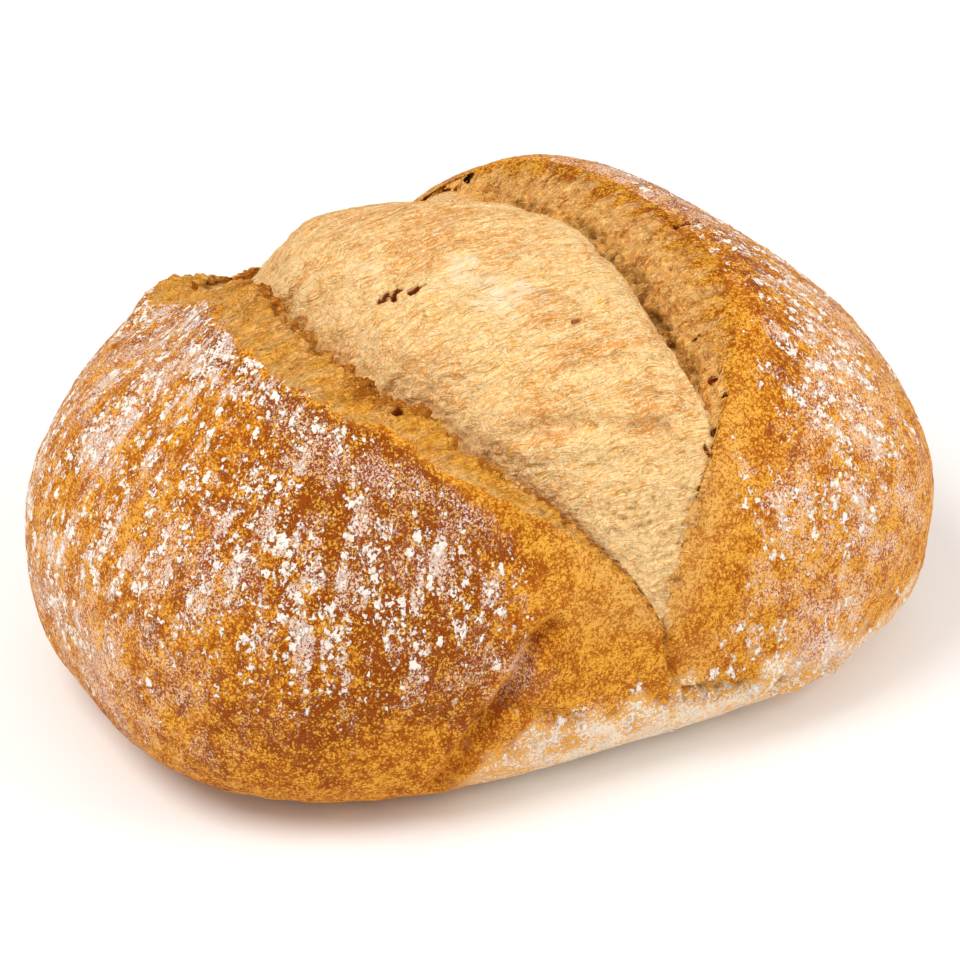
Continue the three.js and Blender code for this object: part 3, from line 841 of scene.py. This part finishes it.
def crust_skin():
    """Amber skin that the oven turned red-brown in places, darkened in one fold as painted shade, and flecked
    with small pale blisters.
    """
    tree, board, given, out = new_tree(
        "ShaderNodeTree", "Crust skin",
        {name: FLOAT for name in ("Mottle", "Fine", "Blisters", "Bake", "Fresh")}, {"Colour": COLOUR},
    )
    patchy, grainy = board.minus(given["Mottle"], 0.5), board.minus(given["Fine"], 0.5)
    done = board.times_plus(grainy, 0.9, board.times_plus(patchy, 2.1, given["Bake"]))
    fleck = board.times_plus(patchy, 0.4, given["Fine"])
    skin = board.layers(
        PALE_AMBER,
        (board.ramp(done, -0.12, 0.40), AMBER),
        (board.ramp(done, 0.34, 0.84), RED_BROWN),
        (board.ramp(fleck, 0.51, 0.60, 0.0, 0.85), DEEP_AMBER),
        (board.ramp(fleck, 0.47, 0.40, 0.0, 0.8), BLISTER),
        (board.times(given["Blisters"], 0.6), BLISTER),
    )
    fresh = board.blend(board.ramp(fleck, 0.47, 0.60, 0.0, 0.9), FRESH_SKIN, AMBER)
    board.feed(out["Colour"], board.blend(board.times(given["Fresh"], 0.7), skin, fresh))
    return tree


def fibre_lines(board, lie, looseness, thin):
    """Thin winding lines along the fibres."""
    away = board.math("ABSOLUTE", board.minus(board.noise(lie, looseness, 1.0, 0.5, 0.6), 0.5))
    return board.ramp(away, thin, 0.0)


def crumb_face():
    """Torn crumb: cream, toasted along its high strands, greyer and open where it is young, and grey as painted
    shade beside the left lip and low in front; its hollows and fine splits are darkened as painted shade. Its
    fibres run along X, and up and down as well where Turned is 1."""
    numbers = ("Length", "Width", "Turned", "Mottle", "Fine",
               "Golden", "Young_and_shade", "Toast", "Relief", "Crisp", "Film")
    tree, board, given, out = new_tree(
        "ShaderNodeTree", "Crumb face",
        {"Place": VECTOR, **{name: FLOAT for name in numbers}}, {"Colour": COLOUR, "Height": FLOAT},
    )
    spot = board.vector("MULTIPLY", given["Place"], PER_METRE)
    shift = board.vector("SUBTRACT", board.drift(spot, 0.12, 1.0), HALVES)
    bent = board.vector("MULTIPLY_ADD", shift, (5.0, 5.0, 5.0), spot)
    along, wide = board.over(1.0, given["Length"]), board.over(1.0, given["Width"])
    level = board.made("ShaderNodeMix", {0: given["Turned"], 2: wide, 3: along}, data_type="FLOAT")
    lie = board.vector("MULTIPLY", bent, board.joined(along, wide, level))
    fibre, cells = board.noise(lie, 1.0, 3.0, 0.68), board.cells(spot, 1.05)["Distance"]
    fibres, strands = board.minus(fibre, 0.5), board.minus(board.noise(lie, 0.31, 3.0, 0.6), 0.5)
    loose_threads, tight_threads = fibre_lines(board, lie, 0.22, 0.022), fibre_lines(board, lie, 0.40, 0.030)
    threads = board.math("MAXIMUM", loose_threads, tight_threads)
    mottle, fine, gold, film = (given[name] for name in ("Mottle", "Fine", "Golden", "Film"))
    # fine splits in the crumb, sunk by the bump and darkened as painted shade
    shaded_split = board.times(fibre_lines(board, lie, 0.27, 0.017), board.ramp(mottle, 0.48, 0.60))

    # the bright strands, and the tint between them, are golden on the lip and the wall
    bright, tint = board.blend(gold, BRIGHT_FIBRE, GOLD_FIBRE), board.blend(gold, TOASTED, LIP_BROWN)
    strong = board.times_plus(gold, 0.18, 0.40)
    raised = board.times_plus(fibres, 1.6, board.times_plus(strands, 2.0, given["Relief"]))
    toast = board.times_plus(board.minus(raised, 0.5), 0.9, given["Toast"])
    crisp = board.times_plus(board.minus(fine, 0.5), 1.6, given["Crisp"])
    dust = board.times_plus(film, 0.25, board.times_plus(strands, -0.5, fine))
    colour = board.layers(
        CREAM,
        (board.ramp(mottle, 0.48, 0.64), GOLD_CREAM),
        # greyer where young, and as painted shade beside the left lip and low in front
        (board.times(given["Young_and_shade"], board.ramp(mottle, 0.3, 0.65, 0.35, 1.0)), GREY_CREAM),
        (gold, TORN_GOLD),
        (board.ramp(toast, 0.25, 1.05, 0.0, 0.95), TOASTED),
        (board.times(board.ramp(fibres, 0.02, 0.12), strong), tint),
        (board.times(board.ramp(strands, -0.02, -0.14), 0.4), bright),
        (board.times(threads, strong), bright),
        (board.ramp(fibres, -0.01, -0.10, 0.0, 0.7), bright),
        (board.times(board.ramp(fine, 0.52, 0.60), strong), tint),
        (board.ramp(fine, 0.46, 0.39, 0.0, 0.6), bright),
        # painted shade: the fine splits darkened as if shaded inside
        (board.times(shaded_split, 0.45), board.blend(gold, SPLIT_SHADE_TAN, CRISP_AND_SHADE_BROWN)),
        (board.ramp(crisp, 0.30, 0.95, 0.0, 0.9), CRISP_AND_SHADE_BROWN),
        # painted shade: the low hollows of the relief darkened, grey cream on the crumb and crisp brown on the
        # golden parts
        (board.ramp(given["Relief"], 0.26, 0.0, 0.0, 0.3), board.blend(gold, GREY_CREAM, CRISP_AND_SHADE_BROWN)),
        (board.times(board.ramp(dust, 0.55, 0.63, 0.0, 0.8), board.ramp(film, 0.05, 0.3)), FLOUR_DUST),
    )
    height = fibre
    for part, strength in ((cells, 0.35), (shaded_split, -0.7), (threads, 0.4), (strands, 1.5), (fine, 0.9)):
        height = board.times_plus(part, strength, height)
    board.feed(out["Colour"], colour)
    board.feed(out["Height"], height)
    return tree


FLOUR_DUSTING, BAKED_GRAIN = flour_dusting(), baked_grain()
CRUST_SKIN, CRUMB_FACE = crust_skin(), crumb_face()


DULL_SHINE = 0.07


def new_material(name):
    material = bpy.data.materials.new(name)
    material.use_nodes = True
    material.node_tree.nodes.clear()
    board = Board(material.node_tree)
    shader = board.add("ShaderNodeBsdfPrincipled", {"Specular IOR Level": DULL_SHINE})
    output = board.add("ShaderNodeOutputMaterial")
    board.tree.links.new(shader.outputs[0], output.inputs[0])
    return material, board, shader


def use(board, group, *masks, **inputs):
    """A group placed in a material, fed with the skin's own masks and with other inputs by name."""
    inputs.update({name: board.mask(name.lower()) for name in masks})
    return board.add("ShaderNodeGroup", inputs, node_tree=group).outputs


def crust_colour(board, baked):
    """The crust's colour from its baked grain and the skin's own masks."""
    grain_inputs = {name: baked[name] for name in ("Mottle", "Fine", "Blisters")}
    return use(board, CRUST_SKIN, "Bake", "Fresh", **grain_inputs)["Colour"]


def finish_surface(board, shader, colour, roughness, height, depth):
    """Gives the shader its colour and roughness, and bumps the given depth in millimetres."""
    bump = board.made("ShaderNodeBump", {"Height": height, "Distance": depth * MM, "Strength": 1.0})
    for name, value in (("Base Color", colour), ("Roughness", roughness), ("Normal", bump)):
        board.feed(shader.inputs[name], value)


def golden_crust():
    """The baked skin with its flour, and painted shade in the creases by the base and in the burst holes."""
    material, board, shader = new_material("golden_crust")
    place = board.place()
    fall = board.made("ShaderNodeUVMap", uv_map="fall")
    baked = use(board, BAKED_GRAIN, Place=place, Size=1.0)
    fine, coat = baked["Fine"], board.mask("coat")
    torn = board.blend(board.ramp(fine, 0.40, 0.6), TORN_GOLD, CRISP_AND_SHADE_BROWN)
    dust = use(board, FLOUR_DUSTING, "Film", Place=place, Fall=fall, Amount=board.mask("flour"),
               Streak=FLOUR_STREAK, Haze=0.9)
    uneven = board.times_plus(coat, 0.15, board.times_plus(baked["Mottle"], 0.6, fine))
    cover = board.times(board.ramp(uneven, 0.85, 0.95, 0.0, 0.95), board.ramp(coat, 0.03, 0.25))
    colour = board.layers(
        crust_colour(board, baked),
        (board.ramp(board.mask("crust_share"), 0.9, 0.1), torn),
        (cover, FOOT_FLOUR),
        (dust["Haze"], FLOUR_HAZE),
        (dust["Clots"], FLOUR_WHITE),
        # painted shade: the creases by the base darkened as if the bulge above shaded them
        (board.ramp(board.mask("painted_crease_shade"), 0.3, 0.9, 0.0, 0.8), PAINTED_SHADE_BROWN),
        # painted shade in the burst holes
        (board.ramp(board.mask("painted_hole_shade"), 0.10, 0.45), HOLE_SHADE_BROWN),
    )
    roughness = board.math("MAXIMUM", board.times_plus(fine, 0.25, 0.36), dust["Clots"])
    height = board.times_plus(dust["Clots"], 0.8, board.times(fine, 0.9))
    height = board.times_plus(baked["Blisters"], 0.35, height)
    finish_surface(board, shader, colour, roughness, height, 0.55)
    return material


def crumb_material(name, fibre_length, fibre_width, fibre_turned, bump_depth):
    """Torn crumb that meets the crust along its edge, with painted shade in the gap beside it and in its burst
    holes.
    """
    material, board, shader = new_material(name)
    place = board.place()
    baked = use(board, BAKED_GRAIN, Place=place, Size=1.0)
    crumb = use(board, CRUMB_FACE, "Golden", "Young_and_shade", "Toast", "Relief", "Crisp", "Film",
                Place=place, Length=fibre_length, Width=fibre_width, Turned=fibre_turned,
                Mottle=baked["Mottle"], Fine=baked["Fine"])
    colour = board.layers(
        crumb["Colour"],
        (board.ramp(board.mask("crust_share"), 0.1, 0.9), crust_colour(board, baked)),
        # painted shade: the crevice beside the wall darkened
        (board.times(board.mask("painted_gap_shade"), 0.85), PAINTED_SHADE_BROWN),
        # painted shade in the burst holes
        (board.ramp(board.mask("painted_hole_shade"), 0.10, 0.45), HOLE_SHADE_BROWN),
    )
    roughness = board.times_plus(baked["Fine"], 0.2, 0.62)
    finish_surface(board, shader, colour, roughness, crumb["Height"], bump_depth)
    return material


def loose_bits(name, pattern, size, low, high, pale, dark, roughness):
    """Small loose things, from pale to dark by one of the baked grain's patterns."""
    material, board, shader = new_material(name)
    baked = use(board, BAKED_GRAIN, Place=board.place(), Size=size)
    colour = board.blend(board.ramp(baked[pattern], low, high), pale, dark)
    finish_surface(board, shader, colour, roughness, baked["Fine"], 0.2)
    return material


GOLDEN_CRUST = golden_crust()
PULLED_CRUMB = crumb_material("pulled_crumb", 4.2, 0.55, 0.0, 0.42)
TORN_CRUMB = crumb_material("torn_wall_crumb", 1.5, 0.55, 1.0, 0.6)
TORN_LIP = crumb_material("torn_lip_crust", 3.0, 0.55, 0.0, 0.85)
DRY_FLOUR = loose_bits("dry_flour", "Fine", 0.6, 0.3, 0.7, FLOUR_WHITE, DULL_FLOUR, 0.95)
CRISP_CRUMB = loose_bits("crisp_crumb", "Mottle", 1.0, 0.38, 0.66, CRUMB_TAN, CRISP_AND_SHADE_BROWN, 0.7)
LOOSE_STRAND = loose_bits("loose_strand", "Mottle", 1.0, 0.38, 0.66, BRIGHT_FIBRE, TOASTED, 0.7)

# ---------------------------------------------------------------- make the skin pieces
# the middle of the loaf's bare form stands over the origin
BARE_LEAN, BARE_TURN = np.meshgrid(np.linspace(3, 177, 60), np.linspace(-180, 180, 120), indexing="ij")
BARE = bare_form(BARE_LEAN, BARE_TURN, 0.0, 5.0 + 0 * BARE_LEAN)
RECENTRE = np.append((BARE.min((0, 1)) + BARE.max((0, 1)))[:2] / 2, 0)
SCORE_LEANS = LEANS[(LEANS > SCORE_FRONT + 0.2) & (LEANS < SCORE_BACK - 0.2)]
ENDS, SCORE_ENDS = (spot_at(0), spot_at(180)), (spot_at(SCORE_FRONT), spot_at(SCORE_BACK))

# pieces of skin: name, first knot, last knot, columns, material, slot
SKIN_PIECES = (
    ("left_crust", FOOT_LEFT, LIP_SKIN, 188, GOLDEN_CRUST, "crust"),
    ("right_crust", RIDGE_SKIN, FOOT_RIGHT, 188, GOLDEN_CRUST, "crust"),
    ("foot_crust", FOOT_RIGHT, LAST_KNOT + FOOT_LEFT, 110, GOLDEN_CRUST, "crust"),
    ("torn_lip", LIP_SKIN, LEFT_CREVICE, 70, TORN_LIP, "crumb"),
    ("pulled_crumb", LEFT_CREVICE, RIGHT_CREVICE, 190, PULLED_CRUMB, "crumb"),
    ("torn_wall", RIGHT_CREVICE, RIDGE_SKIN, 90, TORN_CRUMB, "crumb"),
)
SKINS = {}
for piece_name, first_knot, last_knot, column_count, skin_material, skin_slot in SKIN_PIECES:
    ring_leans, tips = (LEANS, ENDS) if skin_slot == "crust" else (SCORE_LEANS, SCORE_ENDS)
    SKINS[piece_name] = skin_patch(first_knot, last_knot, column_count, ring_leans)
    closed_piece(piece_name, SKINS[piece_name], *tips, skin_material, skin_slot)


# ---------------------------------------------------------------- things scattered over the skin
FULL_TURN = 6.283
CROWDING = 1.6


def named(board, name, kind="FLOAT"):
    return board.add("GeometryNodeInputNamedAttribute", {"Name": name}, data_type=kind).outputs["Attribute"]


def spread(board, given, share):
    """Points spread over the skin no closer than the spacing, with their turn to face outward."""
    crowd = board.over(CROWDING, board.times(given["Spacing"], given["Spacing"]))
    inputs = {"Mesh": given["Geometry"], "Distance Min": given["Spacing"], "Density Max": crowd,
              "Density Factor": share, "Seed": given["Seed"]}
    return board.add("GeometryNodeDistributePointsOnFaces", inputs, distribute_method="POISSON").outputs


def chance(board, given, low, high, step):
    inputs = {2: low, 3: high, "Seed": board.plus(given["Seed"], float(step))}
    return board.add("FunctionNodeRandomValue", inputs, data_type="FLOAT").outputs[1]


def turned_by(board, rotation, **angles):
    """A rotation, turned further about its own axes."""
    spin = board.made("FunctionNodeEulerToRotation", {0: board.joined(**angles)})
    return board.made("FunctionNodeRotateRotation", {0: rotation, 1: spin}, rotation_space="LOCAL")


def copies(board, points, thing, rotation, scale):
    """A real copy of a thing on each point."""
    inputs = {"Points": points, "Instance": thing, "Rotation": rotation, "Scale": scale}
    instances = board.made("GeometryNodeInstanceOnPoints", inputs)
    return board.made("GeometryNodeRealizeInstances", {0: instances})


def finish_scatter(board, given, out, geometry):
    soft = board.made("GeometryNodeSetShadeSmooth", {0: geometry})
    inputs = {"Geometry": soft, "Material": given["Material"]}
    board.feed(out[0], board.made("GeometryNodeSetMaterial", inputs))


def lump_scatter():
    """Uneven lumps, flattened to the skin, where a mask or the flour pattern calls for them."""
    tree, board, given, out = new_tree(
        "GeometryNodeTree", "Scattered lumps",
        {"Geometry": GEOMETRY, "Spacing": FLOAT, "Smallest": FLOAT, "Largest": FLOAT, "Flatness": FLOAT,
         "Detail": INTEGER, "Mask": TEXT, "Clots": FLOAT, "Specks": FLOAT, "Seed": INTEGER,
         "Material": MATERIAL},
        {"Geometry": GEOMETRY},
    )
    place = board.made("GeometryNodeInputPosition")
    mask = named(board, given["Mask"])
    clots, specks, _ = flour_pattern(board, place, named(board, "fall", "FLOAT_VECTOR"), mask, FLOUR_STREAK)
    pattern = board.plus(board.times(clots, given["Clots"]), board.times(specks, given["Specks"]))
    plain = board.minus(1.0, board.plus(given["Clots"], given["Specks"]))
    share = board.math("MULTIPLY_ADD", mask, plain, pattern, clamp=True)
    points, _, facing = spread(board, given, share)
    lump = board.made("GeometryNodeMeshIcoSphere", {"Radius": 1.0, "Subdivisions": given["Detail"]})
    turned = turned_by(board, facing, z=chance(board, given, 0.0, FULL_TURN, 1))
    size = chance(board, given, given["Smallest"], given["Largest"], 2)
    wide = board.times(size, chance(board, given, 0.6, 1.0, 3))
    flat = board.times(wide, given["Flatness"])
    real = copies(board, points, lump, turned, board.joined(size, wide, flat))
    spot = board.made("GeometryNodeInputPosition")
    push = board.vector("SUBTRACT", board.drift(spot, 1.3 / MM, 1.0), HALVES)
    reach = board.times(given["Largest"], 1.5)
    push = board.made("ShaderNodeVectorMath", {0: push, "Scale": reach}, operation="SCALE")
    rough = board.made("GeometryNodeSetPosition", {"Geometry": real, "Offset": push})
    finish_scatter(board, given, out, rough)
    return tree


def strand_scatter():
    """Thin tapering strands of crumb that lie along the loaf, pulled out of the skin at one end."""
    tree, board, given, out = new_tree(
        "GeometryNodeTree", "Pulled strands",
        {"Geometry": GEOMETRY, "Spacing": FLOAT, "Shortest": FLOAT, "Longest": FLOAT, "Thickness": FLOAT,
         "Mask": TEXT, "Seed": INTEGER, "Material": MATERIAL},
        {"Geometry": GEOMETRY},
    )
    points, normal, _ = spread(board, given, named(board, given["Mask"]))
    inputs = {"Start": (-0.5, 0.0, 0.0), "Middle": (0.0, 0.6 * MM, 0.25 * MM), "End": (0.5, 0.0, 0.0),
              "Resolution": 7}
    curve = board.made("GeometryNodeCurveQuadraticBezier", inputs)
    along = board.add("GeometryNodeSplineParameter").outputs["Factor"]
    belly = board.times(along, board.minus(1.0, along))
    taper = board.times_plus(belly, 3.6, 0.1)
    curve = board.made("GeometryNodeSetCurveRadius", {"Curve": curve, "Radius": taper})
    ring = board.made("GeometryNodeCurvePrimitiveCircle", {"Resolution": 4, "Radius": given["Thickness"]})
    inputs = {"Curve": curve, "Profile Curve": ring, "Fill Caps": True}
    strand = board.made("GeometryNodeCurveToMesh", inputs)
    upright = board.made("FunctionNodeAlignRotationToVector", {"Vector": normal}, axis="Z")
    level = board.add("FunctionNodeAlignRotationToVector", {"Rotation": upright, "Vector": (1.0, 0.0, 0.0)},
                      axis="X", pivot_axis="Z").outputs[0]
    tilt, swing = chance(board, given, -0.10, 0.10, 1), chance(board, given, -0.45, 0.45, 4)
    turned = turned_by(board, level, y=tilt, z=swing)
    length = chance(board, given, given["Shortest"], given["Longest"], 2)
    stout = chance(board, given, 0.55, 1.3, 3)
    real = copies(board, points, strand, turned, board.joined(length, stout, stout))
    finish_scatter(board, given, out, real)
    return tree


def scattered_piece(name, skin, tree, slot_name, **inputs):
    """Runs a scatter tree over a sheet of skin and keeps the result as a plain mesh."""
    modifier = skin.modifiers.new(name, "NODES")
    modifier.node_group = tree
    sockets = {item.name: item.identifier for item in tree.interface.items_tree if item.in_out == "INPUT"}
    for key, value in inputs.items():
        modifier[sockets[key]] = value
    graph = bpy.context.evaluated_depsgraph_get()
    mesh = bpy.data.meshes.new_from_object(skin.evaluated_get(graph))
    skin.modifiers.remove(modifier)
    mesh.name = name
    return dressed(placed(name, mesh), slot_name)


crust_sheet = bare_skin("crust_sheet", "left_crust", "right_crust", "foot_crust")
torn_sheet = bare_skin("torn_sheet", "torn_lip", "torn_wall")
crumb_sheet = bare_skin("crumb_sheet", "pulled_crumb", "torn_wall")
LUMPS, STRANDS = lump_scatter(), strand_scatter()
scattered_piece(
    "flour_clots", crust_sheet, LUMPS, "flour", Spacing=1.25 * MM, Smallest=0.35 * MM, Largest=0.85 * MM,
    Flatness=0.42, Detail=2, Mask="flour", Clots=1.0, Specks=0.0, Seed=3, Material=DRY_FLOUR,
)
scattered_piece(
    "flour_grains", crust_sheet, LUMPS, "flour", Spacing=0.8 * MM, Smallest=0.14 * MM, Largest=0.34 * MM,
    Flatness=0.7, Detail=1, Mask="flour", Clots=0.25, Specks=0.75, Seed=5, Material=DRY_FLOUR,
)
scattered_piece(
    "torn_crumbs", torn_sheet, LUMPS, "crumb", Spacing=1.5 * MM, Smallest=0.2 * MM, Largest=0.55 * MM,
    Flatness=0.7, Detail=2, Mask="crisp", Clots=0.0, Specks=0.0, Seed=7, Material=CRISP_CRUMB,
)
scattered_piece(
    "pulled_strands", crumb_sheet, STRANDS, "crumb", Spacing=2.2 * MM, Shortest=2.5 * MM, Longest=6.0 * MM,
    Thickness=0.075 * MM, Mask="strand", Seed=9, Material=LOOSE_STRAND,
)
for sheet in (crust_sheet, torn_sheet, crumb_sheet):
    bpy.data.objects.remove(sheet)


# ---------------------------------------------------------------- stage, light and camera
FLOOR_SIZE, FLOOR_DROP = 6.0, 0.0004
PAPER_WHITE, ROOM_WHITE = rgb(0.93, 0.93, 0.93), rgb(1.0, 0.99, 0.98)
ROOM_LIGHT = 0.645
LIT_SPOT = (0, 0, 0.05)


def soft_light(name, place, size, power, tint):
    data = bpy.data.lights.new(name, "AREA")
    data.shape, data.size, data.energy, data.color = "DISK", size, power, tint
    light = bpy.data.objects.new(name, data)
    light.location = place
    light.rotation_euler = (Vector(LIT_SPOT) - Vector(place)).to_track_quat("-Z", "Y").to_euler()
    bpy.context.scene.collection.objects.link(light)


def studio():
    bpy.ops.mesh.primitive_plane_add(size=FLOOR_SIZE, location=(0, 0, -FLOOR_DROP))
    floor = bpy.context.object
    floor.name = "pale_floor"
    material, board, shader = new_material("white_paper_floor")
    shader.inputs["Base Color"].default_value = PAPER_WHITE
    shader.inputs["Roughness"].default_value = 0.9
    floor.data.materials.append(material)
    world = bpy.data.worlds.new("soft_white_room")
    world.use_nodes = True
    world.node_tree.nodes["Background"].inputs[0].default_value = ROOM_WHITE
    world.node_tree.nodes["Background"].inputs[1].default_value = ROOM_LIGHT
    bpy.context.scene.world = world
    soft_light("window_left", (-0.62, 0.0, 1.05), 0.7, 9.0, (1.0, 0.98, 0.95))
    soft_light("fill_right", (0.8, -0.7, 0.7), 0.8, 6.5, (1.0, 0.98, 0.96))
    bpy.context.scene.view_settings.view_transform = "Standard"


CAMERA_AZIMUTH, CAMERA_ELEVATION = math.radians(-31.5), math.radians(33.6)
CAMERA_DISTANCE = 0.831
CAMERA_TARGET = Vector((0, -0.0018, 0.04615))
FRAME_PIXELS = 960
PIXELS_PER_FOCAL = 3037.0
TARGET_PIXEL = (467.2, 470.5)


def camera():
    data = bpy.data.cameras.new("camera")
    back = Vector((math.sin(CAMERA_AZIMUTH) * math.cos(CAMERA_ELEVATION),
                   -math.cos(CAMERA_AZIMUTH) * math.cos(CAMERA_ELEVATION), math.sin(CAMERA_ELEVATION)))
    data.sensor_width = 36.0
    data.lens = data.sensor_width * PIXELS_PER_FOCAL / FRAME_PIXELS
    data.shift_x = (FRAME_PIXELS / 2 - TARGET_PIXEL[0]) / FRAME_PIXELS
    data.shift_y = (TARGET_PIXEL[1] - FRAME_PIXELS / 2) / FRAME_PIXELS
    view = bpy.data.objects.new("camera", data)
    view.location = CAMERA_TARGET + back * CAMERA_DISTANCE
    view.rotation_euler = back.to_track_quat("Z", "Y").to_euler()
    bpy.context.scene.collection.objects.link(view)
    bpy.context.scene.camera = view


studio()
camera()

bpy.context.view_layer.update()
